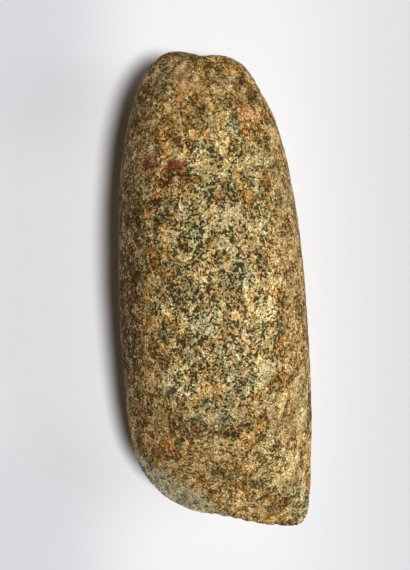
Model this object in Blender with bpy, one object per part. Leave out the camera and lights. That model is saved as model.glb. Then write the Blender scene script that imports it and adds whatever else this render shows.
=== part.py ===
"""Thick granite axe head, pecked to shape and ground at its cutting edge, lying on one face.

Metres, +Z up. The long axis runs along Y, with the blunt poll at +Y and the cutting edge at -Y.
The origin is at the middle of the head's box, on the surface that it lies on.
"""
import math

import bmesh
import bpy
import numpy as np
from mathutils import Euler, Matrix, Vector
from mathutils.geometry import interpolate_bezier

# Driving sizes
LENGTH = 0.165            # crest of the poll to the cutting edge
WIDTH = 0.0674            # across the widest part of the body
THICKNESS = 0.046         # resting flat to the top of the belly
RIM_HEIGHT = 0.0225       # from the resting flat up to the outline's widest line
REST_FLAT_DEPTH = 0.0009  # how deep the resting flat is worn into the underside

# Outline seen from above, clockwise from the poll, as shares of half the width and half the length
OUTLINE = (
    (-0.405, 1.000),   # poll crest
    (-0.320, 0.994),   # where the crest starts to fall
    (-0.175, 0.976),   # dip in the battered end
    (0.075, 0.980),    # right end of the poll
    (0.291, 0.941),    # right poll corner
    (0.463, 0.835),    # right poll shoulder
    (0.659, 0.661),    # right neck
    (0.801, 0.424),    # right upper flank
    (0.923, 0.024),    # right belly
    (0.997, -0.558),   # right heel, the widest place
    (0.979, -0.776),   # right waist
    (0.966, -0.925),   # right toe
    (0.935, -0.980),   # toe corner
    (0.850, -1.000),   # start of the cutting edge
    (0.534, -0.996),   # cutting edge near the toe
    (0.083, -0.959),   # middle of the cutting edge
    (-0.297, -0.925),  # cutting edge near the heel
    (-0.638, -0.827),  # heel corner
    (-0.849, -0.664),  # left heel
    (-0.938, -0.364),  # left lower flank
    (-0.997, 0.182),   # left upper flank
    (-0.917, 0.655),   # left neck
    (-0.780, 0.853),   # left poll shoulder
    (-0.611, 0.966),   # left poll corner
)
OUTLINE_STEPS = 24        # samples of the outline from one of its points to the next
DIRECTIONS = 720          # directions in which the outline's distance is kept
CORNER_SPREAD = 100       # how many degrees of the outline are averaged for the middle of a face
CORNER_REACH = 3.0        # how late, on the way out, the section takes on the outline's corners

# How the section falls from the middle of a face to the outline, by direction in degrees.
# Breadth keeps the middle full, 2 for an ellipse; sharpness is 0.5 for a round rim, 1 for a wedge.
SECTION = (
    (-180, 2.0, 0.47),  # left flank
    (-165, 2.0, 0.50),  # left lower flank
    (-138, 2.3, 0.76),  # heel corner
    (-115, 2.5, 0.88),  # cutting edge near the heel
    (-91, 2.6, 0.96),   # middle of the cutting edge
    (-60, 2.7, 1.00),   # cutting edge near the toe
    (-44, 2.5, 0.90),   # toe corner
    (-4, 2.0, 0.47),    # right flank
    (50, 2.0, 0.41),    # right poll shoulder
    (90, 2.0, 0.36),    # poll
    (130, 2.0, 0.40),   # left poll shoulder
    (180, 2.0, 0.47),   # left flank again
)

BODY_CUTS = 25            # cuts across each face of the cube that is rounded into the body
BODY_TURN = math.radians(45)  # turn of that cube, which keeps its edges off the corners of the blade

# The scar where a flake left the upper face behind the poll: an ellipsoid scoops it out
SCAR_ACROSS = 0.0135      # the ellipsoid's radius across the poll
SCAR_ALONG = 0.0200       # its radius along the scar, from the poll's end up the face
SCAR_INTO = 0.0120        # its radius into the stone
SCAR_BITE = 0.0016        # how deep it cuts below the stone's corner
SCAR_DIRECTION = math.radians(95)  # where its middle lies, seen from the centre of the face
SCAR_SPREAD = 0.91        # and how far out it lies, as a share of the way to the outline
SCAR_TILT = math.radians(52)  # how far the scooping direction leans up from the horizontal
SCAR_TURN = math.radians(16)  # how far it leans to the right, so that the left side is the steep one
SCAR_SEGMENTS = 32
SCAR_RINGS = 20

STONE_COLOUR = (0.305, 0.216, 0.091, 1.0)
STONE_ROUGHNESS = 0.72


def closed_curve(points, steps):
    """Smooth closed curve through the points, sampled steps times from each one to the next."""
    corners = [Vector(point) for point in points]
    following = corners[1:] + corners[:1]
    spans = [math.sqrt((end - start).length) for start, end in zip(corners, following)]
    slopes = []
    for index, corner in enumerate(corners):
        before = spans[index - 1]
        after = spans[index]
        arriving = (corner - corners[index - 1]) / before
        leaving = (following[index] - corner) / after
        slopes.append((arriving * after + leaving * before) / (before + after))
    samples = []
    for start, end, span, slope, next_slope in zip(corners, following, spans, slopes,
                                                   slopes[1:] + slopes[:1]):
        handle = span / 3.0
        stretch = interpolate_bezier(start, start + slope * handle,
                                     end - next_slope * handle, end, steps + 1)
        samples.extend(stretch[:-1])
    return np.array([sample.xy for sample in samples])


def outline_reach():
    """Function of a direction and a share of the way out that gives the plan's distance there.

    Far out it follows the outline with its corners, and near the middle of a face a rounder one.
    """
    curve = closed_curve(OUTLINE, OUTLINE_STEPS)
    low = curve.min(axis=0)
    high = curve.max(axis=0)
    curve = (2.0 * curve - low - high) / (high - low)
    turns = np.arctan2(curve[:, 1], curve[:, 0])
    order = np.argsort(turns)
    angles = np.linspace(-math.pi, math.pi, DIRECTIONS, endpoint=False)
    sharp = np.interp(angles, turns[order], np.hypot(*curve[order].T), period=math.tau)
    window = np.hanning(DIRECTIONS * CORNER_SPREAD // 360)
    soft = np.convolve(np.tile(sharp, 3), window / window.sum(), "same")[DIRECTIONS:2 * DIRECTIONS]

    def reach(angle, spread):
        outer = np.interp(angle, angles, sharp, period=math.tau)
        inner = np.interp(angle, angles, soft, period=math.tau)
        return spread * float(inner + (outer - inner) * spread ** CORNER_REACH)

    return reach


def section(angle):
    """Breadth and sharpness in one direction, blended smoothly between the named directions."""
    degrees = math.degrees(angle)
    for start, end in zip(SECTION, SECTION[1:]):
        if degrees <= end[0]:
            share = (degrees - start[0]) / (end[0] - start[0])
            share = share * share * (3.0 - 2.0 * share)
            breadth = start[1] + (end[1] - start[1]) * share
            sharpness = start[2] + (end[2] - start[2]) * share
            return breadth, sharpness
    return SECTION[-1][1:]


def placed(angle, spread, side, reach):
    """Point of the body in one direction, at a share of the way out, on its upper or lower side."""
    breadth, sharpness = section(angle)
    rise = (1.0 - spread ** breadth) ** sharpness
    if side > 0.0:
        height = RIM_HEIGHT + (THICKNESS - RIM_HEIGHT) * rise
    else:
        height = RIM_HEIGHT - (RIM_HEIGHT + REST_FLAT_DEPTH) * rise
    plan = reach(angle, spread)
    return Vector((plan * math.cos(angle) * WIDTH / 2.0, plan * math.sin(angle) * LENGTH / 2.0, height))


def rounded_body():
    """Body of the head: a finely divided cube, rounded to a sphere and drawn out to the outline."""
    body = bmesh.new()
    bmesh.ops.create_cube(body, size=2.0)
    bmesh.ops.subdivide_edges(body, edges=body.edges[:], cuts=BODY_CUTS, use_grid_fill=True)
    reach = outline_reach()
    turn = Matrix.Rotation(BODY_TURN, 3, "Z")
    for vertex in body.verts:
        even = turn @ Vector([math.tan(value * math.pi / 4.0) for value in vertex.co]).normalized()
        spread = min(math.hypot(even.x, even.y), 1.0)
        vertex.co = placed(math.atan2(even.y, even.x), spread, even.z, reach)
    return body


def grind_resting_flat(body):
    """Cut the underside off level, so that the head lies on a flat and doesn't roll."""
    cut = bmesh.ops.bisect_plane(body, geom=body.verts[:] + body.edges[:] + body.faces[:],
                                 plane_co=(0.0, 0.0, 0.0), plane_no=(0.0, 0.0, -1.0),
                                 clear_outer=True)
    rim = [item for item in cut["geom_cut"] if isinstance(item, bmesh.types.BMEdge)]
    bmesh.ops.contextual_create(body, geom=rim)


def stone_material():
    stone = bpy.data.materials.new("granite")
    stone.use_nodes = True
    shader = stone.node_tree.nodes["Principled BSDF"]
    shader.inputs["Base Color"].default_value = STONE_COLOUR
    shader.inputs["Roughness"].default_value = STONE_ROUGHNESS
    shader.inputs["Metallic"].default_value = 0.0
    return stone


def mesh_object(name, shape, collection):
    shape.normal_update()
    mesh = bpy.data.meshes.new(name)
    shape.to_mesh(mesh)
    shape.free()
    mesh.shade_smooth()
    item = bpy.data.objects.new(name, mesh)
    collection.objects.link(item)
    return item


def poll_scar_cutter(collection):
    """Ellipsoid that reaches SCAR_BITE into the upper face from outside, just behind the poll."""
    cutter = bmesh.new()
    radii = Matrix.Diagonal((SCAR_ACROSS, SCAR_ALONG, SCAR_INTO, 1.0))
    bmesh.ops.create_uvsphere(cutter, u_segments=SCAR_SEGMENTS, v_segments=SCAR_RINGS, radius=1.0,
                              matrix=radii)
    item = mesh_object("poll_scar_cutter", cutter, collection)
    turn = Euler((SCAR_TILT - math.pi / 2.0, SCAR_TURN, 0.0))
    outward = turn.to_matrix() @ Vector((0.0, 0.0, 1.0))
    middle = placed(SCAR_DIRECTION, SCAR_SPREAD, 1.0, outline_reach())
    item.location = middle + outward * (SCAR_INTO - SCAR_BITE)
    item.rotation_euler = turn
    item.display_type = "WIRE"
    item.hide_render = True
    return item


def axe_head(collection, cutters):
    body = rounded_body()
    grind_resting_flat(body)
    head = mesh_object("axe_head", body, collection)
    head.data.materials.append(stone_material())
    scar = head.modifiers.new("poll scar", "BOOLEAN")
    scar.operation = "DIFFERENCE"
    scar.solver = "EXACT"
    scar.object = poll_scar_cutter(cutters)
    return head


def new_collection(name):
    collection = bpy.data.collections.new(name)
    bpy.context.scene.collection.children.link(collection)
    return collection


def main():
    for item in list(bpy.data.objects):
        bpy.data.objects.remove(item, do_unlink=True)
    axe_head(new_collection("stone_axe_head"), new_collection("cutters"))


main()
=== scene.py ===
import math

import bpy
import numpy as np
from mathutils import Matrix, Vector
from mathutils.bvhtree import BVHTree


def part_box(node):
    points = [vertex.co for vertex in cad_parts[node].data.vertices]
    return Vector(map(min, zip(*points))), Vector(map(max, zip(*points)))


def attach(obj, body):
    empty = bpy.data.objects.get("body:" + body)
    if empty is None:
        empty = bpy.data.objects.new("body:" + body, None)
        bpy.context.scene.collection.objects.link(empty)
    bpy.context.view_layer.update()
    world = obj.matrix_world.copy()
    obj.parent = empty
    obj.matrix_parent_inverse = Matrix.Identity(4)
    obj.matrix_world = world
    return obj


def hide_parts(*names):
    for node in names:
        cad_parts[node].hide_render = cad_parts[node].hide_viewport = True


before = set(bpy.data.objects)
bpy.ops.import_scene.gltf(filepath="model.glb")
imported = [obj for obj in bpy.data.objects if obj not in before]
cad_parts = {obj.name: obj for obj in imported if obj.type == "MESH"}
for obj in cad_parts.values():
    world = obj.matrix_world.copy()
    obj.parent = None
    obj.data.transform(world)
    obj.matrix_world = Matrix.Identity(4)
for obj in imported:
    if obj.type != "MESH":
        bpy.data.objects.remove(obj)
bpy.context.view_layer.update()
mm = 0.001


def deselectAll():
    for item in bpy.context.selected_objects:
        item.select_set(False)


def pick(item):
    # makes one object the selected and active one
    deselectAll()
    item.select_set(True)
    bpy.context.view_layer.objects.active = item


def applyModifier(item, kind, name, **values):
    # adds a modifier, sets its values and applies it
    pick(item)
    modifier = item.modifiers.new(name, kind)
    for key, value in values.items():
        setattr(modifier, key, value)
    bpy.ops.object.modifier_apply(modifier=modifier.name)


def colour(red, green, blue):
    # linear colour from the 0 to 255 values that a colour picker shows
    shares = [value / 255.0 for value in (red, green, blue)]
    linear = [share / 12.92 if share <= 0.04045 else ((share + 0.055) / 1.055) ** 2.4 for share in shares]
    return (*linear, 1.0)


# The stone: what a user would change about its surface, sizes in metres
stone = {
    "mergeGap": 0.01 * mm,         # how close the CAD mesh's loose corners lie when they are merged
    "voxel": 0.61 * mm,            # edge of the finished mesh's faces
    "calm": 0.5,                   # smoothing after the remesh
    "calmRounds": 3,
    "waveSize": 15 * mm,           # long gentle waves left by shaping
    "waveDepth": 0.76 * mm,
    "peckSize": 3.2 * mm,          # dimples left by pecking
    "peckDepth": 0.47 * mm,
    "gritSize": 1.1 * mm,          # grains standing proud of their neighbours
    "gritDepth": 0.28 * mm,
    "edgePush": 0.45 * mm,         # brings the cutting edge back out to its line after the remesh
    "edgeBand": 1.5 * mm,          # how far above and below the widest line the edge reaches
    "edgeStart": -52 * mm,         # where along the stone it begins
    "edgeFade": 10 * mm,           # and over what length
    "edgeCalm": 0.7,               # share of the relief that it loses
    "flatGap": 0.05 * mm,          # height up to which the resting flat is plain
    "flatMargin": 1.2 * mm,        # and over which the relief then fades in
    "bodyKeep": 0.72,              # share of the relief on the body, where the poll has all of it
    "pollStart": 45 * mm,
    "pollFade": 20 * mm,
    "polishKeep": 0.25,            # share of the relief that grinding left on the heel
}

# Small breaks: across and along seen from above, height above the outline's widest line,
# radius of the scooping ball and depth of its bite
nicks = (
    (21.5, -82.6, 0.0, 2.6, 0.55),
    (13.2, -81.6, 0.5, 3.0, 0.50),
    (9.0, -80.6, -0.4, 1.8, 0.55),
    (5.2, -79.9, 0.2, 2.4, 0.45),
    (0.4, -79.2, 0.3, 2.0, 0.50),
    (-21.8, 79.2, 1.0, 2.2, 1.15),
    (-5.6, 81.0, 0.5, 1.7, 0.90),
    (16.5, 67.0, 2.0, 3.4, 0.55),
)


def copyNode(nodeName, pieceName):
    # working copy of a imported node, with its loose triangles merged
    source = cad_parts[nodeName]
    piece = source.copy()
    piece.data = source.data.copy()
    piece.name = pieceName
    piece.data.name = pieceName
    piece.parent = None
    for key in list(piece.keys()):
        del piece[key]
    bpy.context.scene.collection.objects.link(piece)
    pick(piece)
    bpy.ops.object.mode_set(mode="EDIT")
    bpy.ops.mesh.select_all(action="SELECT")
    bpy.ops.mesh.remove_doubles(threshold=stone["mergeGap"])
    bpy.ops.mesh.normals_make_consistent(inside=False)
    bpy.ops.object.mode_set(mode="OBJECT")
    return piece


def biteOut(piece, tree, rimHeight):
    # scoops each nick out with a small ball that reaches in from outside
    for index, (across, along, rise, radius, depth) in enumerate(nicks):
        wanted = Vector((across * mm, along * mm, rimHeight + rise * mm))
        place, normal = tree.find_nearest(wanted)[:2]
        centre = place + normal * (radius - depth) * mm
        deselectAll()
        bpy.ops.mesh.primitive_ico_sphere_add(subdivisions=3, radius=radius * mm, location=centre)
        ball = bpy.context.object
        ball.name = f"nick{index}"
        applyModifier(piece, "BOOLEAN", "nick", operation="DIFFERENCE", solver="EXACT", object=ball)
        bpy.data.objects.remove(ball, do_unlink=True)


def relief(name, detail):
    # procedural texture that a Displace modifier reads
    texture = bpy.data.textures.new(name, "CLOUDS")
    texture.noise_scale = stone[name + "Size"]
    texture.noise_depth = detail
    return texture


def vertexPlaces(piece):
    # places of a mesh's vertices, in metres
    places = np.empty(len(piece.data.vertices) * 3)
    piece.data.vertices.foreach_get("co", places)
    return places.reshape(-1, 3)


def reliefWeights(piece):
    # all the relief at the poll, less on the body, the heel and the edge, none on the resting flat
    places = vertexPlaces(piece)
    height = np.clip((places[:, 2] - stone["flatGap"]) / stone["flatMargin"], 0.0, 1.0)
    polish = groundStrip(places)
    level = 1.0 - np.clip(np.abs(places[:, 2] - view["rim"] * mm) / stone["edgeBand"], 0.0, 1.0)
    blade = np.clip((stone["edgeStart"] - places[:, 1]) / stone["edgeFade"], 0.0, 1.0)
    poll = np.clip((places[:, 1] - stone["pollStart"]) / stone["pollFade"], 0.0, 1.0)
    weights = height * (1.0 - (1.0 - stone["polishKeep"]) * polish)
    weights = weights * (1.0 - stone["edgeCalm"] * level * blade)
    weights = weights * (stone["bodyKeep"] + (1.0 - stone["bodyKeep"]) * poll)
    fillGroup(piece, "relief", weights)
    fillGroup(piece, "edge", level * blade)
    fillAttribute(piece, "polish", polish)


# The ledge on the poll: left of these photo pixels the stone stands higher, and a painted shadow lies along
# them
ledge = {
    "line": ((197, 57), (189, 66), (186, 73), (181, 78), (173, 81), (166, 88)),
    "darkSeamWidth": 1.6,          # sizes in millimetres; the painted shadow thins out towards this distance
    "riseWidth": 5.0,
    "riseHeight": 0.80,
    "fadeStart": 2.0,          # height above the widest line from which the ledge comes in
    "fadeHeight": 7.0,
}


def ledgeWeights(piece, tree):
    # the painted shadow and the raised side, from the distance to the line seen from above
    places = vertexPlaces(piece) / mm
    line = [np.array(stonePoint(tree, pixel)) / mm for pixel in ledge["line"]]
    nearest = np.full(len(places), np.inf)
    side = np.zeros(len(places))
    for start, end in zip(line[:-1], line[1:]):
        along = (end - start)[:2]
        offset = places[:, :2] - start[:2]
        share = np.clip(offset @ along / (along @ along), 0.0, 1.0)
        gap = np.linalg.norm(offset - share[:, None] * along, axis=1)
        closer = gap < nearest
        nearest[closer] = gap[closer]
        turn = along[0] * offset[:, 1] - along[1] * offset[:, 0]
        side[closer] = turn[closer]
    upper = np.clip((places[:, 2] - view["rim"] - ledge["fadeStart"]) / ledge["fadeHeight"], 0.0, 1.0)
    # painted shadow along the step's line
    darkSeam = np.clip(1.0 - nearest / ledge["darkSeamWidth"], 0.0, 1.0) * upper
    rise = np.clip(1.0 - nearest / ledge["riseWidth"], 0.0, 1.0) * upper * (side < 0.0)
    fillAttribute(piece, "darkSeam", darkSeam)
    fillGroup(piece, "rise", rise)


def fillAttribute(piece, name, values):
    # a value for each vertex that the material reads
    attribute = piece.data.attributes.new(name, "FLOAT", "POINT")
    attribute.data.foreach_set("value", values.astype(np.float32))


def fillGroup(piece, name, weights):
    group = piece.vertex_groups.new(name=name)
    for index, weight in enumerate(weights):
        if weight > 0.0:
            group.add([index], float(weight), "REPLACE")


# The ground heel: a line seen from above, in millimetres, outside which the stone was ground smooth
heel = {
    "start": (-26.6, -56.2),
    "end": (3.5, -75.4),
    "soft": 6.0,               # width over which the smooth part begins
    "fadeLength": 16.0,        # and over which it ends towards the toe
}


def groundStrip(places):
    # 1 on the ground heel, 0 elsewhere
    start = np.array(heel["start"])
    along = np.array(heel["end"]) - start
    length = np.linalg.norm(along)
    along = along / length
    outward = np.array([along[1], -along[0]])
    offset = places[:, :2] / mm - start
    strip = np.clip((offset @ outward) / heel["soft"] + 0.5, 0.0, 1.0)
    fade = np.clip((length - offset @ along) / heel["fadeLength"] + 0.5, 0.0, 1.0)
    return strip * fade


def makeAxe():
    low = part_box("axe_head")[0]
    piece = copyNode("axe_head", "stoneAxe")
    applyModifier(piece, "SUBSURF", "smooth", levels=1, render_levels=1)
    tree = BVHTree.FromObject(piece, bpy.context.evaluated_depsgraph_get())
    biteOut(piece, tree, low.z + view["rim"] * mm)
    applyModifier(piece, "REMESH", "even", mode="VOXEL", voxel_size=stone["voxel"])
    applyModifier(piece, "SMOOTH", "calm", factor=stone["calm"], iterations=stone["calmRounds"])
    reliefWeights(piece)
    ledgeWeights(piece, tree)
    for name, depth in (("rise", ledge["riseHeight"] * mm), ("edge", stone["edgePush"])):
        applyModifier(piece, "DISPLACE", name, mid_level=0.0, strength=depth, vertex_group=name)
    for name, detail in (("wave", 1), ("peck", 2), ("grit", 1)):
        applyModifier(piece, "DISPLACE", name, texture=relief(name, detail), texture_coords="LOCAL",
                      mid_level=0.5, strength=stone[name + "Depth"], vertex_group="relief")
    piece.data.shade_smooth()
    print("stone axe:", len(piece.data.polygons), "faces")
    return piece


def addNode(tree, kind, values=None, **settings):
    # one shader node, with its settings and its sockets' plain values
    node = tree.nodes.new(kind)
    for key, value in settings.items():
        setattr(node, key, value)
    for key, value in (values or {}).items():
        node.inputs[key].default_value = value
    return node


def ramp(tree, source, stops):
    # colour ramp fed by a value; stops are (position, colour)
    node = addNode(tree, "ShaderNodeValToRGB")
    elements = node.color_ramp.elements
    while len(elements) < len(stops):
        elements.new(0.5)
    for element, (position, shade) in zip(elements, stops):
        element.position = position
        element.color = shade
    tree.links.new(source, node.inputs["Fac"])
    return node.outputs["Color"]


def maths(tree, operation, first, second):
    node = addNode(tree, "ShaderNodeMath", operation=operation)
    for socket, value in zip(node.inputs, (first, second)):
        if isinstance(value, (int, float)):
            socket.default_value = value
        else:
            tree.links.new(value, socket)
    return node.outputs["Value"]


def mixColour(tree, amount, first, second, blend="MIX"):
    node = addNode(tree, "ShaderNodeMix", data_type="RGBA", blend_type=blend, clamp_factor=True)
    for socket, value in ((node.inputs[0], amount), (node.inputs[6], first), (node.inputs[7], second)):
        if isinstance(value, (int, float, tuple)):
            socket.default_value = value
        else:
            tree.links.new(value, socket)
    return node.outputs[2]


def remap(tree, source, low, high, toLow=0.0, toHigh=1.0):
    node = addNode(tree, "ShaderNodeMapRange", {"From Min": low, "From Max": high, "To Min": toLow,
                                                "To Max": toHigh}, interpolation_type="SMOOTHSTEP")
    tree.links.new(source, node.inputs["Value"])
    return node.outputs["Result"]


def grainGroup():
    # crystals of one size: two random values for each, and the distance to its border
    group = bpy.data.node_groups.new("crystalGrain", "ShaderNodeTree")
    sockets = group.interface
    sockets.new_socket("Vector", in_out="INPUT", socket_type="NodeSocketVector")
    for label, value in (("Size", 1.0), ("Stretch", 1.0), ("Warp", 0.3), ("Seed", 0.0)):
        sockets.new_socket(label, in_out="INPUT", socket_type="NodeSocketFloat").default_value = value
    for label in ("Pick", "Tint", "Border"):
        sockets.new_socket(label, in_out="OUTPUT", socket_type="NodeSocketFloat")
    start = addNode(group, "NodeGroupInput")
    end = addNode(group, "NodeGroupOutput")
    links = group.links
    longer = addNode(group, "ShaderNodeCombineXYZ")
    links.new(start.outputs["Size"], longer.inputs["X"])
    links.new(maths(group, "MULTIPLY", start.outputs["Size"], start.outputs["Stretch"]), longer.inputs["Y"])
    links.new(start.outputs["Size"], longer.inputs["Z"])
    scaled = addNode(group, "ShaderNodeVectorMath", operation="DIVIDE")
    links.new(start.outputs["Vector"], scaled.inputs[0])
    links.new(longer.outputs["Vector"], scaled.inputs[1])
    moved = addNode(group, "ShaderNodeVectorMath", operation="ADD")
    links.new(scaled.outputs[0], moved.inputs[0])
    links.new(start.outputs["Seed"], moved.inputs[1])
    noise = addNode(group, "ShaderNodeTexNoise", {"Scale": 1.7, "Detail": 2.0, "Roughness": 0.6})
    links.new(moved.outputs[0], noise.inputs["Vector"])
    centred = addNode(group, "ShaderNodeVectorMath", operation="SUBTRACT")
    centred.inputs[1].default_value = (0.5, 0.5, 0.5)
    links.new(noise.outputs["Color"], centred.inputs[0])
    push = addNode(group, "ShaderNodeVectorMath", operation="SCALE")
    links.new(centred.outputs[0], push.inputs[0])
    links.new(start.outputs["Warp"], push.inputs["Scale"])
    warped = addNode(group, "ShaderNodeVectorMath", operation="ADD")
    links.new(moved.outputs[0], warped.inputs[0])
    links.new(push.outputs[0], warped.inputs[1])
    cells = addNode(group, "ShaderNodeTexVoronoi", {"Scale": 1.0}, feature="F1")
    links.new(warped.outputs[0], cells.inputs["Vector"])
    split = addNode(group, "ShaderNodeSeparateColor")
    links.new(cells.outputs["Color"], split.inputs["Color"])
    border = addNode(group, "ShaderNodeTexVoronoi", {"Scale": 1.0}, feature="DISTANCE_TO_EDGE")
    links.new(warped.outputs[0], border.inputs["Vector"])
    links.new(split.outputs[0], end.inputs["Pick"])
    links.new(split.outputs[1], end.inputs["Tint"])
    links.new(border.outputs["Distance"], end.inputs["Border"])
    return group


def spotGroup():
    # soft-edged oval place on the stone: 1 inside, 0 outside; Ragged frays its edge
    group = bpy.data.node_groups.new("softSpot", "ShaderNodeTree")
    sockets = group.interface
    for label in ("Vector", "Centre", "Size"):
        sockets.new_socket(label, in_out="INPUT", socket_type="NodeSocketVector")
    for label in ("Turn", "Ragged"):
        sockets.new_socket(label, in_out="INPUT", socket_type="NodeSocketFloat")
    sockets.new_socket("Mask", in_out="OUTPUT", socket_type="NodeSocketFloat")
    start = addNode(group, "NodeGroupInput")
    end = addNode(group, "NodeGroupOutput")
    links = group.links
    turned = addNode(group, "ShaderNodeVectorRotate", rotation_type="Z_AXIS")
    links.new(start.outputs["Vector"], turned.inputs["Vector"])
    links.new(start.outputs["Centre"], turned.inputs["Center"])
    links.new(start.outputs["Turn"], turned.inputs["Angle"])
    offset = addNode(group, "ShaderNodeVectorMath", operation="SUBTRACT")
    links.new(turned.outputs["Vector"], offset.inputs[0])
    links.new(start.outputs["Centre"], offset.inputs[1])
    share = addNode(group, "ShaderNodeVectorMath", operation="DIVIDE")
    links.new(offset.outputs[0], share.inputs[0])
    links.new(start.outputs["Size"], share.inputs[1])
    length = addNode(group, "ShaderNodeVectorMath", operation="LENGTH")
    links.new(share.outputs[0], length.inputs[0])
    reach = maths(group, "ADD", length.outputs["Value"], start.outputs["Ragged"])
    links.new(remap(group, reach, granite["spotOuter"], granite["spotInner"]), end.inputs["Mask"])
    return group


# Colours of the stone's minerals and stains, and of the painted shadow along the ledge, as a colour picker
# shows them in plain light
palette = {
    "orange": colour(228, 168, 96),
    "tan": colour(206, 174, 116),
    "cream": colour(236, 218, 164),
    "white": colour(226, 226, 184),
    "olive": colour(122, 112, 70),
    "brown": colour(124, 95, 54),
    "darkGreen": colour(72, 76, 56),
    "greyGreen": colour(158, 167, 147),
    "patina": colour(230, 219, 201),
    # dark seam colour: painted shadow along the poll's ledge, and the darker grain borders
    "darkSeam": colour(62, 50, 16),
    "black": colour(38, 46, 30),
    "red": colour(128, 56, 30),
    "rust": colour(190, 96, 44),
    "iron": colour(220, 156, 78),
    "spark": colour(240, 230, 194),
}

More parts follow.
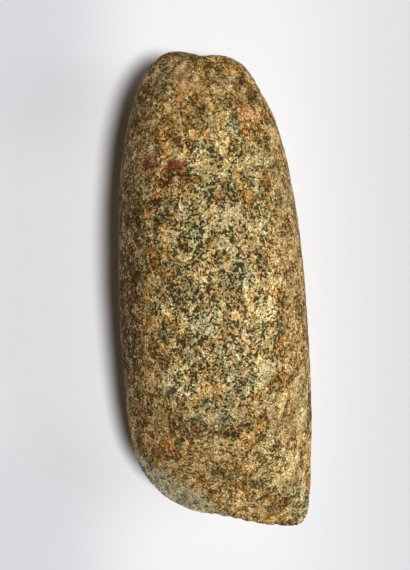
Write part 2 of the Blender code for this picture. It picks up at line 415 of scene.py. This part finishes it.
# Places that stand out in the photo: middle across and down and half sizes in photo pixels,
# turn in degrees, colour, cover, and how much thicker the dark specks lie there
spots = {
    "lobeGrey": (163, 74, 8, 16, -32, "greyGreen", 0.36, -0.05),
    "lobeOrange": (181, 69.5, 5.5, 10, -35, "orange", 0.85, -0.90),
    "underLobeOrange": (184, 88, 7, 11, -10, "orange", 0.80, -0.50),
    "pollStreak": (219, 78, 3.5, 13, 38, "tan", 0.60, -0.20),
    "pollGreen": (238, 81, 8, 6, 0, "darkGreen", 0.45, 0.10),
    "pollPaleLeft": (174, 80, 6, 5, 0, "cream", 0.35, -0.15),
    "pollBrown": (222, 100, 26, 30, 10, "tan", 0.30, -0.12),
    "shoulderBrown": (246, 99, 13, 14, 25, "brown", 0.26, -0.06),
    "shoulderOrange": (246, 112, 8, 8, 0, "orange", 0.85, -0.22),
    "neckPale": (232, 129, 8, 7, 0, "white", 0.45, -0.10),
    "upperPale": (202, 148, 11, 9, 0, "white", 0.45, 0.05),
    "upperCream": (255, 166, 12, 15, 20, "cream", 0.48, -0.15),
    "redPatchTop": (167, 152, 7, 5, 0, "orange", 0.45, -0.10),
    "underRedBrown": (177, 182, 13, 12, 0, "brown", 0.40, 0.10),
    "shaftGreenLeft": (158, 218, 9, 7, 0, "darkGreen", 0.25, 0.20),
    "shaftGreen": (172, 205, 5, 6, 0, "darkGreen", 0.25, 0.20),
    "shaftGreenMiddle": (194, 232, 9, 10, 0, "darkGreen", 0.28, 0.20),
    "middleDark": (190, 287, 16, 9, 0, "darkGreen", 0.28, 0.22),
    "lowLeftDark": (167, 334, 11, 9, 0, "olive", 0.45, 0.15),
    "bitDark": (263, 484, 12, 9, -20, "olive", 0.60, 0.22),
    "lowDark": (206, 404, 9, 7, 0, "darkGreen", 0.26, 0.18),
    "shaftPale": (225, 220, 14, 19, 0, "cream", 0.55, -0.14),
    "shaftPaleLeft": (193, 208, 12, 8, 0, "cream", 0.35, -0.05),
    "shaftStreak": (242, 243, 5, 13, 10, "orange", 0.55, -0.20),
    "shaftPatch": (271, 255, 7, 8, 0, "orange", 0.45, -0.15),
    "shaftWhite": (243, 273, 9, 20, 0, "white", 0.40, 0.05),
    "flankOrange": (286, 225, 10, 75, 7, "tan", 0.50, -0.18),
    "flankOrangeLow": (294, 340, 11, 60, 3, "tan", 0.50, -0.20),
    "middleGreen": (184, 304, 10, 8, 0, "darkGreen", 0.34, 0.25),
    "middleWhite": (205, 324, 14, 14, 0, "white", 0.50, -0.05),
    "middlePale": (267, 309, 8, 14, 0, "cream", 0.40, -0.05),
    "lowCream": (264, 370, 10, 17, 0, "cream", 0.60, -0.30),
    "lowBrownSpot": (162, 364, 6, 11, 0, "brown", 0.50, 0.16),
    "lowWhite": (174, 388, 16, 15, -15, "white", 0.42, 0.05),
    "lowOrange": (215, 389, 11, 4, 0, "orange", 0.50, -0.15),
    "lowWhiteRight": (223, 417, 11, 8, 0, "white", 0.48, -0.06),
    "brownBand": (180, 423, 44, 17, -8, "brown", 0.28, -0.08),
    "brownBandRight": (200, 428, 20, 13, -20, "brown", 0.25, 0.06),
    "bitGreen": (232, 433, 6, 5, 0, "darkGreen", 0.28, 0.16),
    "bitTan": (222, 458, 32, 16, 0, "tan", 0.40, -0.16),
    "bitPale": (278, 462, 26, 40, 0, "cream", 0.40, -0.10),
    "bitOlive": (233, 478, 24, 8, -10, "olive", 0.45, -0.15),
    "toeGreen": (287, 492, 14, 16, 0, "darkGreen", 0.15, 0.20),
    "toePale": (297, 460, 8, 6, 0, "cream", 0.45, -0.15),
    "toePaleLow": (294, 490, 6, 5, 0, "cream", 0.45, -0.15),
    "toeBrown": (262, 509, 19, 10, -15, "tan", 0.30, -0.12),
    "heelRim": (162, 453, 38, 6, -36, "brown", 0.16, -0.12),
    # painted shade: the left flank, away from the lights, is browner and also darkened beyond its own
    # colour
    "leftPatinaAndShade": (129, 290, 17, 140, 0, "brown", 0.62, -0.10),
    "leftPatinaAndShadeTop": (134, 150, 14, 60, -12, "brown", 0.45, -0.05),
    "centrePale": (222, 310, 50, 120, 0, "white", 0.15, 0.02),
    "neckOlive": (199, 121, 17, 12, -30, "olive", 0.38, 0.10),
    "neckDark": (228, 184, 9, 8, 0, "darkGreen", 0.32, 0.20),
    "neckDarkLeft": (195, 173, 8, 8, 0, "olive", 0.35, 0.15),
    "leftBrown": (152, 179, 8, 10, 0, "brown", 0.40, 0.08),
    "shaftCream": (221, 274, 9, 9, 0, "cream", 0.45, -0.24),
    "lowCreamRight": (272, 405, 10, 12, 0, "cream", 0.42, -0.20),
    "lowTanEdge": (301, 400, 9, 30, 0, "cream", 0.42, -0.25),
    "toePaleEnd": (300, 500, 11, 20, 0, "white", 0.42, -0.12),
    "toePaleMiddle": (284, 489, 9, 8, 0, "cream", 0.35, -0.10),
    "lobePale": (183, 58, 14, 5, -5, "tan", 0.50, -0.26),
    "neckOliveLow": (178, 142, 8, 8, 0, "olive", 0.35, 0.14),
    "shoulderOlive": (247, 176, 8, 8, 0, "olive", 0.35, 0.14),
    "flankOlive": (264, 213, 7, 7, 0, "olive", 0.30, 0.14),
    "streakCream": (250, 227, 7, 8, 0, "cream", 0.40, -0.20),
    "lowDarkLeft": (190, 347, 9, 15, 0, "darkGreen", 0.24, 0.18),
    "lowDarkRight": (237, 368, 8, 7, 0, "darkGreen", 0.24, 0.18),
    "lowDarkMiddle": (228, 397, 8, 6, 0, "olive", 0.30, 0.18),
    "shoulderPale": (252, 146, 12, 8, -30, "cream", 0.32, -0.18),
    "bellyCream": (248, 330, 8, 9, 0, "cream", 0.35, -0.20),
    "rimTan": (298, 282, 6, 12, 0, "tan", 0.40, -0.15),
    "edgeCream": (221, 509, 14, 4, 0, "cream", 0.35, -0.15),
    "lowRightPale": (288, 426, 16, 12, 0, "tan", 0.40, -0.34),
}

# Stains that lie over the grains too: as the spots, without the last value
stains = {
    "redStain": (175, 165, 10, 6.5, 5, "red", 0.82),
    "redStainLeft": (151, 163, 9, 9, 0, "red", 0.56),
    "redSpeck": (177, 214, 2.6, 2.2, 30, "rust", 0.50),
    "lowRust": (155, 449, 4, 3, 60, "red", 0.35),
}

# Colours that differ from one crystal to the next, each as a place from 0 to 1 and a colour
tints = {
    "patch": (
        (0.00, colour(132, 114, 58)), (0.20, colour(172, 134, 70)), (0.36, colour(222, 166, 84)),
        (0.52, colour(208, 170, 100)), (0.66, colour(242, 216, 146)), (0.84, colour(232, 224, 172)),
        (1.00, colour(176, 158, 98))),
    "clump": (
        (0.00, colour(152, 136, 80)), (0.22, colour(236, 168, 90)), (0.42, colour(230, 186, 112)),
        (0.60, colour(246, 224, 160)), (0.80, colour(214, 226, 184)), (1.00, colour(240, 200, 136))),
    "crystal": (
        (0.00, colour(232, 160, 84)), (0.40, colour(238, 180, 102)), (0.65, colour(250, 226, 166)),
        (1.00, colour(242, 232, 186))),
    "grain": (
        (0.00, colour(140, 118, 64)), (0.25, colour(206, 166, 98)), (0.50, colour(230, 190, 116)),
        (0.75, colour(248, 228, 164)), (1.00, colour(242, 236, 184))),
    "speck": (
        (0.0, colour(50, 42, 10)), (0.4, colour(52, 54, 28)), (1.0, colour(90, 70, 24))),
}

# How thick the dark specks lie in a patch, by the place of its colour
patchGloom = ((0.00, 0.63), (0.20, 0.58), (0.36, 0.43), (0.60, 0.45), (0.84, 0.50), (1.00, 0.60))

# The granite, sizes in millimetres; a cover is the share of a colour that is laid over the one below
granite = {
    "patchSize": 3.9,          # mineral patches, seen from a step away
    "patchStretch": 1.8,
    "patchWarp": 1.3,          # how much their borders wander
    "patchShade": (0.89, 1.11),     # brightness of the darkest and of the lightest
    "clumpSize": 1.95,         # pale and dark clumps of crystals inside them
    "clumpStretch": 1.6,
    "clumpWarp": 0.7,
    "clumpCover": 0.54,
    "clumpFull": 0.7,          # the next two change over this share of the clumps, then stay
    "clumpShade": (1.09, 0.93),
    "clumpCrowd": (-0.20, 0.20),    # how much thicker the specks lie in them
    "seam": (0.02, 0.20),      # where clumps meet, from their border inwards
    "seamCrowd": (0.13, -0.08),
    "crystalShare": 0.15,      # share of the clumps that are whole crystals
    "crystalSoft": 0.08,
    "crystalCover": 0.60,
    "crystalClear": 0.34,      # and how clear of specks they are
    "crystalShade": 1.10,
    "grainSize": 0.66,         # the grains
    "grainStretch": 1.05,
    "grainWarp": 0.4,
    "grainCover": 0.14,
    "grainContrast": 0.34,
    "grainLift": 0.7,          # how far the pale grains go, where 1 is as far as the dark ones
    "gap": 0.26,               # darker along the grains' borders
    "gapWidth": 0.12,
    "grooveWidth": 0.18,       # the groove between them, in the fine relief
    "speckSize": 0.60,         # dark specks and pale sparkles
    "speckStretch": 1.05,
    "speckWarp": 0.35,
    "speckShare": 0.30,        # how much of the stone is dark specks
    "speckSoft": (0.06, 0.08),      # and how gently they begin, on both sides of that share
    "speckSink": 0.6,          # how deep they lie, in the fine relief
    "speckCover": 0.92,
    "speckBlack": 0.55,        # how much blacker they are in the cleaner middle
    "speckDeep": (0.13, 0.12, 0.08, 1.0),   # what they leave of the colour around them
    "speckDeepCover": 0.40,
    "sparkShare": 0.20,        # how much of it is pale ones
    "sparkSoft": 0.12,
    "sparkCover": 0.60,
    "clusterSize": 5.0,        # where the specks crowd together
    "clusterCrowd": 0.8,
    "gritSize": 0.26,          # the finest light and dark
    "gritRange": (0.3, 0.7),
    "gritShade": (0.36, 1.56),
    "fullRange": (0.4, 1.6),   # dark grains are fuller in colour, pale ones are paler
    "full": (1.14, 0.94),
    "zoneSize": 26.0,          # broad darker and paler zones
    "zoneRange": (0.35, 0.65),
    "zoneShade": (0.94, 1.06),
    "stainSize": 4.2,          # iron stains between the grains
    "stainRange": (0.50, 0.72),
    "stainCover": 0.12,
    "scrubbed": (222, 290, 66, 170, 4),     # the cleaner middle: photo pixels and turn, as the spots above
    "patina": 0.50,            # how much the brown film dulls the rest
    "patinaCalm": 0.10,        # and how much it hides the dark specks
    "spotCover": 1.3,          # strength of all the spots
    "spotMost": 0.85,          # the most that one covers
    "spotOuter": 1.30,         # where a spot ends and where it is whole, as shares of its half sizes
    "spotInner": 0.55,
    "spotDepth": 16.0,         # how deep into the stone a spot reaches
    "fraySize": 2.4,
    "fray": 1.1,               # how ragged the edges of the spots are
    "heelFray": 1.1,           # and the edge of the ground heel
    "heelRange": (0.1, 1.0),
    "heelCover": 0.78,
    "heelClear": 0.30,         # how clear of dark specks the ground heel is
    "heelCalm": 0.35,          # and how even
    # strength of the painted shadow along the poll's ledge
    "ledgeShadow": 0.55,
    "brightness": 0.93,
    "roughness": 0.80,
    "polishedRoughness": 0.45,
    "shine": 0.40,
    "bumpStrength": 0.7,
    "bumpDepth": 0.15 * mm,    # in metres
    "polishedBump": 0.3,       # share of it that grinding left
}


def graniteMaterial(tree3d):
    material = bpy.data.materials.new("granite")
    material.use_nodes = True
    tree = material.node_tree
    links = tree.links
    shader = tree.nodes["Principled BSDF"]
    crystalGrain = grainGroup()
    softSpot = spotGroup()
    place = addNode(tree, "ShaderNodeTexCoord")
    scale = addNode(tree, "ShaderNodeMapping", {"Scale": (1000.0, 1000.0, 1000.0)})
    links.new(place.outputs["Object"], scale.inputs["Vector"])
    vector = scale.outputs["Vector"]

    def grains(name, seed):
        node = addNode(tree, "ShaderNodeGroup", {"Seed": seed}, node_tree=crystalGrain)
        for label in ("Size", "Stretch", "Warp"):
            node.inputs[label].default_value = granite[name + label]
        links.new(vector, node.inputs["Vector"])
        return node

    def moved(seed):
        # the same place in another stretch of the noise
        node = addNode(tree, "ShaderNodeVectorMath", operation="ADD")
        node.inputs[1].default_value = (7.3 * seed, 3.1 * seed, 5.7 * seed)
        links.new(vector, node.inputs[0])
        return node.outputs["Vector"]

    def noise(size, detail, roughness, seed):
        node = addNode(tree, "ShaderNodeTexNoise", {"Scale": 1.0 / size, "Detail": detail,
                                                    "Roughness": roughness})
        links.new(moved(seed), node.inputs["Vector"])
        return node.outputs["Fac"]

    fray = maths(tree, "SUBTRACT", noise(granite["fraySize"], 3.0, 0.7, 15.0), 0.5)
    fray = maths(tree, "MULTIPLY", fray, granite["fray"])

    def spotMask(across, down, halfWidth, halfHeight, turn):
        point = stonePoint(tree3d, (across, down))
        node = addNode(tree, "ShaderNodeGroup", node_tree=softSpot)
        node.inputs["Centre"].default_value = [value / mm for value in point]
        node.inputs["Size"].default_value = (halfWidth * view["pixel"], halfHeight * view["pixel"],
                                             granite["spotDepth"])
        node.inputs["Turn"].default_value = math.radians(-turn)
        links.new(vector, node.inputs["Vector"])
        links.new(fray, node.inputs["Ragged"])
        return node.outputs["Mask"]

    def addCalm(value, amount):
        # brings a brightness closer to 1
        missing = maths(tree, "SUBTRACT", 1.0, value)
        return maths(tree, "ADD", value, maths(tree, "MULTIPLY", missing, amount))

    patch = grains("patch", 23.0)
    clump = grains("clump", 31.0)
    grain = grains("grain", 3.0)
    speck = grains("speck", 11.0)
    cluster = noise(granite["clusterSize"], 3.0, 0.6, 1.0)
    zone = noise(granite["zoneSize"], 1.0, 0.5, 4.0)

    # the patches: dark olive, brown, orange, tan, cream and greenish white
    mineral = ramp(tree, patch.outputs["Tint"], tints["patch"])
    # each clump and each grain has its own colour
    clumpTint = ramp(tree, clump.outputs["Tint"], tints["clump"])
    own = ramp(tree, grain.outputs["Tint"], tints["grain"])
    body = mixColour(tree, granite["clumpCover"], mineral, clumpTint)
    # some clumps are whole crystals, orange or cream, with few specks in them
    rarest = 1.0 - granite["crystalShare"]
    crystal = remap(tree, clump.outputs["Pick"], rarest, rarest + granite["crystalSoft"])
    crystalTint = ramp(tree, clump.outputs["Tint"], tints["crystal"])
    body = mixColour(tree, maths(tree, "MULTIPLY", crystal, granite["crystalCover"]), body, crystalTint)
    body = mixColour(tree, granite["grainCover"], body, own)
    # iron stains soak in between the grains
    soaked = noise(granite["stainSize"], 3.0, 0.6, 7.0)
    rust = remap(tree, soaked, *granite["stainRange"], 0.0, granite["stainCover"])
    body = mixColour(tree, rust, body, palette["iron"], "MULTIPLY")
    # specks: more of the dark ones where the patch is dark, the cluster is thick or clumps meet
    gloom = ramp(tree, patch.outputs["Tint"], [(place, (value,) * 4) for place, value in patchGloom])
    thick = maths(tree, "MULTIPLY", maths(tree, "SUBTRACT", cluster, 0.5), granite["clusterCrowd"])
    crowd = maths(tree, "ADD", maths(tree, "SUBTRACT", gloom, 0.5), thick)
    between = remap(tree, clump.outputs["Border"], *granite["seam"], *granite["seamCrowd"])
    crowd = maths(tree, "ADD", crowd, between)
    inside = remap(tree, clump.outputs["Pick"], 0.0, granite["clumpFull"], *granite["clumpCrowd"])
    crowd = maths(tree, "ADD", crowd, inside)
    crowd = maths(tree, "SUBTRACT", crowd, maths(tree, "MULTIPLY", crystal, granite["crystalClear"]))
    for across, down, halfWidth, halfHeight, turn, tint, cover, thicker in spots.values():
        mask = spotMask(across, down, halfWidth, halfHeight, turn)
        cover = min(cover * granite["spotCover"], granite["spotMost"])
        body = mixColour(tree, maths(tree, "MULTIPLY", mask, cover), body, palette[tint])
        crowd = maths(tree, "ADD", crowd, maths(tree, "MULTIPLY", mask, thicker))
    # the ground heel is grey-green, with few specks
    polish = addNode(tree, "ShaderNodeAttribute", attribute_name="polish").outputs["Fac"]
    ragged = maths(tree, "ADD", polish, maths(tree, "MULTIPLY", fray, granite["heelFray"]))
    ground = remap(tree, ragged, *granite["heelRange"])
    greyed = maths(tree, "MULTIPLY", ground, granite["heelCover"])
    body = mixColour(tree, greyed, body, palette["greyGreen"])
    crowd = maths(tree, "SUBTRACT", crowd, maths(tree, "MULTIPLY", ground, granite["heelClear"]))
    # the dark specks, blacker where wear has cleaned the stone, and browner under the patina
    scrubbed = spotMask(*granite["scrubbed"])
    rank = maths(tree, "ADD", speck.outputs["Pick"], crowd)
    edge = 1.0 - granite["speckShare"]
    before, after = granite["speckSoft"]
    darkness = remap(tree, rank, edge - before, edge + after, 0.0, granite["speckCover"])
    shown = remap(tree, scrubbed, 0.0, 1.0, 1.0 - granite["patinaCalm"], 1.0)
    darkness = maths(tree, "MULTIPLY", darkness, shown)
    dark = ramp(tree, speck.outputs["Tint"], tints["speck"])
    dark = mixColour(tree, maths(tree, "MULTIPLY", scrubbed, granite["speckBlack"]), dark, palette["black"])
    deep = mixColour(tree, 1.0, body, granite["speckDeep"], "MULTIPLY")
    dark = mixColour(tree, granite["speckDeepCover"], dark, deep)
    body = mixColour(tree, darkness, body, dark)
    # darker along the grains' borders, and pale sparkles
    gap = remap(tree, grain.outputs["Border"], 0.0, granite["gapWidth"], granite["gap"], 0.0)
    body = mixColour(tree, gap, body, palette["darkSeam"])
    rarest = granite["sparkShare"]
    sparkle = remap(tree, rank, rarest, rarest - granite["sparkSoft"], 0.0, granite["sparkCover"])
    body = mixColour(tree, sparkle, body, palette["spark"])
    # a brown patina dulls the stone wherever wear has not cleaned it
    film = remap(tree, scrubbed, 0.0, 1.0, granite["patina"], 0.0)
    body = mixColour(tree, film, body, palette["patina"], "MULTIPLY")
    for across, down, halfWidth, halfHeight, turn, tint, cover in stains.values():
        mask = spotMask(across, down, halfWidth, halfHeight, turn)
        body = mixColour(tree, maths(tree, "MULTIPLY", mask, cover), body, palette[tint])
    # painted shadow along the poll's ledge
    darkSeam = addNode(tree, "ShaderNodeAttribute", attribute_name="darkSeam").outputs["Fac"]
    body = mixColour(tree, maths(tree, "MULTIPLY", darkSeam, granite["ledgeShadow"]), body, palette["darkSeam"])
    # brightness: grain by grain, finer grit, and broad zones
    grainShade = remap(tree, grain.outputs["Pick"], 0.0, 1.0, 1.0 - granite["grainContrast"],
                       1.0 + granite["grainLift"] * granite["grainContrast"])
    grit = noise(granite["gritSize"], 1.0, 0.6, 9.0)
    mottle = remap(tree, grit, *granite["gritRange"], *granite["gritShade"])
    shade = maths(tree, "MULTIPLY", mottle, grainShade)
    fuller = remap(tree, shade, *granite["fullRange"], *granite["full"])
    zoneShade = remap(tree, zone, *granite["zoneRange"], *granite["zoneShade"])
    shade = maths(tree, "MULTIPLY", shade, zoneShade)
    shade = addCalm(shade, maths(tree, "MULTIPLY", ground, granite["heelCalm"]))
    patchShade = remap(tree, patch.outputs["Pick"], 0.0, 1.0, *granite["patchShade"])
    shade = maths(tree, "MULTIPLY", shade, patchShade)
    clumpShade = remap(tree, clump.outputs["Pick"], 0.0, granite["clumpFull"], *granite["clumpShade"])
    shade = maths(tree, "MULTIPLY", shade, clumpShade)
    shade = maths(tree, "MULTIPLY", shade, remap(tree, crystal, 0.0, 1.0, 1.0, granite["crystalShade"]))
    shade = maths(tree, "MULTIPLY", shade, granite["brightness"])
    final = addNode(tree, "ShaderNodeHueSaturation")
    links.new(fuller, final.inputs["Saturation"])
    links.new(shade, final.inputs["Value"])
    links.new(body, final.inputs["Color"])
    links.new(final.outputs["Color"], shader.inputs["Base Color"])

    # relief too fine for the mesh: dark grains lie lower, and borders are grooves
    groove = remap(tree, grain.outputs["Border"], 0.0, granite["grooveWidth"])
    height = maths(tree, "SUBTRACT", groove, maths(tree, "MULTIPLY", darkness, granite["speckSink"]))
    keep = remap(tree, polish, 0.0, 1.0, 1.0, granite["polishedBump"])
    bump = addNode(tree, "ShaderNodeBump", {"Strength": granite["bumpStrength"],
                                            "Distance": granite["bumpDepth"]})
    links.new(maths(tree, "MULTIPLY", height, keep), bump.inputs["Height"])
    links.new(bump.outputs["Normal"], shader.inputs["Normal"])
    gloss = remap(tree, polish, 0.0, 1.0, granite["roughness"], granite["polishedRoughness"])
    links.new(gloss, shader.inputs["Roughness"])
    shader.inputs["Specular IOR Level"].default_value = granite["shine"]
    return material


# The studio; the lights' heights and turns in degrees, a turn of 0 is from the right of the view
studio = {
    "floorSize": 6.0,               # in metres
    "floorRoughness": 0.9,
    "floorShine": 0.1,
    "floorColour": colour(239, 242, 249),
    # painted shade on the paper: the darker colours it fades to on the right and on the left
    "floorShadeRight": colour(226, 229, 235),
    "fallOff": (0.012, 0.075),      # from and to where, in metres right of the middle
    "floorShadeLeft": colour(219, 222, 230),
    "fallOffLeft": (-0.018, -0.064),
    "cornerFall": (0.035, 0.090),   # from and to where above or below the middle
    "cornerShare": 0.35,            # share of the darkening that is left at the middle's height
    "worldColour": colour(255, 224, 184),
    "worldStrength": 0.06,
    "backdrop": colour(214, 217, 223),      # what is seen past the paper's edge in low views
    "lightColour": (1.0, 0.985, 0.96),
    "gamma": 0.82,
    "keyHeight": 71.8,
    "keyTurn": -25.0,
    "keyWidth": 15.0,
    "keyStrength": 2.88,
    "sideHeight": 24.0,
    "sideTurn": 2.0,
    "sideWidth": 30.0,
    "sideStrength": 0.85,
    "fillHeight": 10.0,
    "fillTurn": 172.0,
    "fillWidth": 40.0,
    "fillStrength": 0.22,
}


def makeFloor():
    deselectAll()
    bpy.ops.mesh.primitive_plane_add(size=studio["floorSize"], location=(0.0, 0.0, 0.0))
    floor = bpy.context.object
    floor.name = "paperFloor"
    material = bpy.data.materials.new("paper")
    material.use_nodes = True
    tree = material.node_tree
    shader = tree.nodes["Principled BSDF"]
    # painted shade on the paper: its colour grows a little darker to the right, and to the left most of all
    # in the corners
    place = addNode(tree, "ShaderNodeTexCoord")
    across = addNode(tree, "ShaderNodeSeparateXYZ")
    tree.links.new(place.outputs["Object"], across.inputs["Vector"])
    darker = remap(tree, across.outputs["X"], *studio["fallOff"])
    paper = mixColour(tree, darker, studio["floorColour"], studio["floorShadeRight"])
    left = remap(tree, across.outputs["X"], *studio["fallOffLeft"])
    away = maths(tree, "ABSOLUTE", across.outputs["Y"], 0.0)
    corner = remap(tree, away, *studio["cornerFall"], studio["cornerShare"], 1.0)
    left = maths(tree, "MULTIPLY", left, corner)
    paper = mixColour(tree, left, paper, studio["floorShadeLeft"])
    tree.links.new(paper, shader.inputs["Base Color"])
    shader.inputs["Roughness"].default_value = studio["floorRoughness"]
    shader.inputs["Specular IOR Level"].default_value = studio["floorShine"]
    floor.data.materials.append(material)


def addLight(name):
    # far soft light from one side: name is key, side or fill
    light = bpy.data.lights.new(name + "Light", "SUN")
    light.energy = studio[name + "Strength"]
    light.angle = math.radians(studio[name + "Width"])
    light.color = studio["lightColour"]
    height = math.radians(studio[name + "Height"])
    turn = math.radians(studio[name + "Turn"])
    flat = math.cos(height)
    towards = Vector((flat * math.cos(turn), flat * math.sin(turn), math.sin(height)))
    lamp = bpy.data.objects.new(name + "Light", light)
    lamp.location = towards
    lamp.rotation_euler = (-towards).to_track_quat("-Z", "Y").to_euler()
    bpy.context.scene.collection.objects.link(lamp)


def makeLight():
    world = bpy.data.worlds.new("roomLight")
    bpy.context.scene.world = world
    world.use_nodes = True
    tree = world.node_tree
    glow = tree.nodes["Background"]
    glow.inputs["Color"].default_value = studio["worldColour"]
    glow.inputs["Strength"].default_value = studio["worldStrength"]
    backdrop = addNode(tree, "ShaderNodeBackground", {"Color": studio["backdrop"], "Strength": 1.0})
    seen = addNode(tree, "ShaderNodeLightPath")
    either = addNode(tree, "ShaderNodeMixShader")
    tree.links.new(seen.outputs["Is Camera Ray"], either.inputs["Fac"])
    tree.links.new(glow.outputs["Background"], either.inputs[1])
    tree.links.new(backdrop.outputs["Background"], either.inputs[2])
    tree.links.new(either.outputs["Shader"], tree.nodes["World Output"].inputs["Surface"])
    addLight("key")
    addLight("side")
    addLight("fill")


# The camera looks straight down; sizes in millimetres, pixels are the photo's
view = {
    "frameWidth": 410,
    "frameHeight": 570,
    "pixel": 0.3481,                # size of a photo pixel at the outline's widest line
    "objectPixel": (214.8, 288.9),  # where the middle of the axe's box lies in the photo
    "distance": 420.0,              # camera above the outline's widest line
    "rim": 22.5,                    # that line's own height
    "sensor": 36.0,
}


def makeCamera():
    data = bpy.data.cameras.new("camera")
    data.sensor_fit = "AUTO"
    data.sensor_width = view["sensor"]
    data.lens = data.sensor_width * view["distance"] / (view["frameHeight"] * view["pixel"])
    camera = bpy.data.objects.new("camera", data)
    across = (view["frameWidth"] / 2.0 - view["objectPixel"][0]) * view["pixel"]
    along = (view["objectPixel"][1] - view["frameHeight"] / 2.0) * view["pixel"]
    camera.location = Vector((across, along, view["rim"] + view["distance"])) * mm
    camera.rotation_euler = (0.0, 0.0, 0.0)
    bpy.context.scene.collection.objects.link(camera)
    bpy.context.scene.camera = camera


def stonePoint(tree3d, pixel):
    # the place on the stone that a photo pixel shows
    eye = bpy.context.scene.camera.location
    down = Vector(((pixel[0] - view["frameWidth"] / 2.0) * view["pixel"],
                   (view["frameHeight"] / 2.0 - pixel[1]) * view["pixel"], -view["distance"]))
    point = tree3d.ray_cast(eye, down.normalized())[0]
    if point is None:
        point = tree3d.find_nearest(eye + down * mm)[0]
    return point


makeCamera()
makeFloor()
makeLight()
bpy.context.scene.view_settings.view_transform = "Standard"
bpy.context.scene.view_settings.gamma = studio["gamma"]
print("studio: done")

axe = makeAxe()
axe.data.materials.clear()
axeTree = BVHTree.FromObject(axe, bpy.context.evaluated_depsgraph_get())
axe.data.materials.append(graniteMaterial(axeTree))
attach(axe, "root")
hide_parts("axe_head")
print("granite: done")
